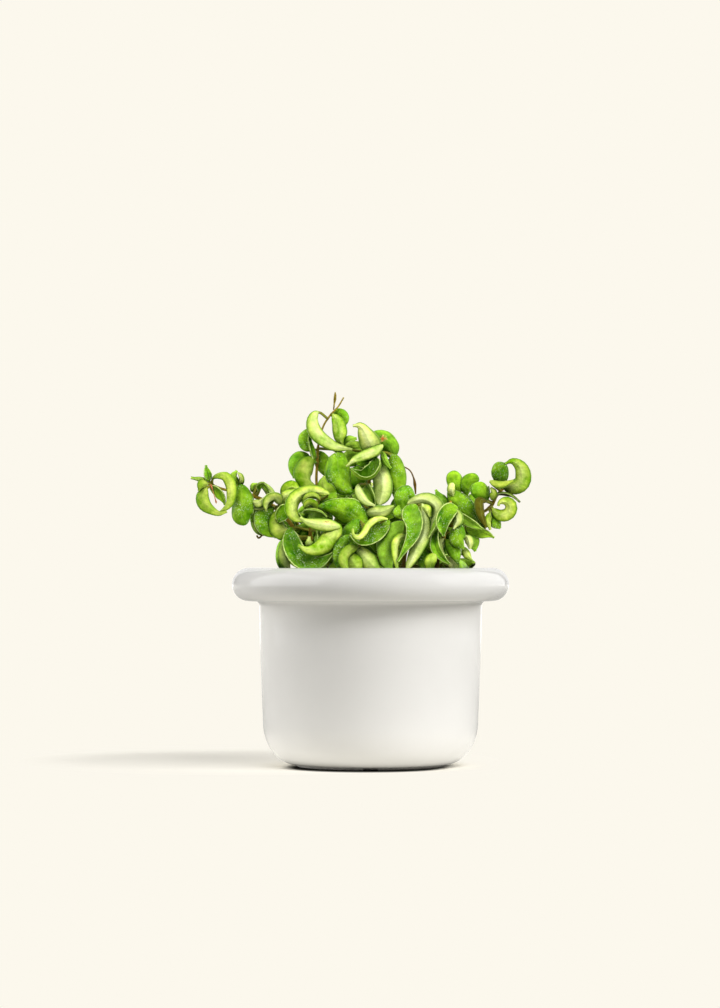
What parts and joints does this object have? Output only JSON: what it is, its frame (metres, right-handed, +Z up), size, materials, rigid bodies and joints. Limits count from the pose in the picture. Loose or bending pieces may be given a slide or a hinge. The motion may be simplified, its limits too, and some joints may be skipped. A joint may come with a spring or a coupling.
{
  "type": "potted hindu rope plant",
  "caption": "Trailing wax plant with thick curled leaves on rope-like stems, in a round glazed ceramic pot with a fat rolled rim.",
  "frame": {"origin": "middle of the pot's flat underside, on the surface that it stands on", "axes": "+Z up, front towards -Y, +X to the right seen from the front"},
  "size_m": [0.2543, 0.21, 0.2836],
  "materials": {
    "glaze": "glossy white glaze",
    "potting_mix": "damp bark and fibre",
    "leaf": "waxy green, semi-gloss above, matt and paler below"
  },
  "bodies": {
    "root": {"pot": "glaze", "potting_mix": "potting_mix", "crown_stem": "leaf", "second_stem": "leaf", "left_trailing_stem": "leaf", "right_trailing_stem": "leaf", "left_front_stem": "leaf", "centre_front_stem": "leaf", "right_front_stem": "leaf", "right_side_stem": "leaf", "back_left_stem": "leaf", "back_centre_stem": "leaf", "back_right_stem": "leaf", "middle_stem": "leaf", "middle_left_stem": "leaf", "middle_right_stem": "leaf"}
  },
  "joints": []
}
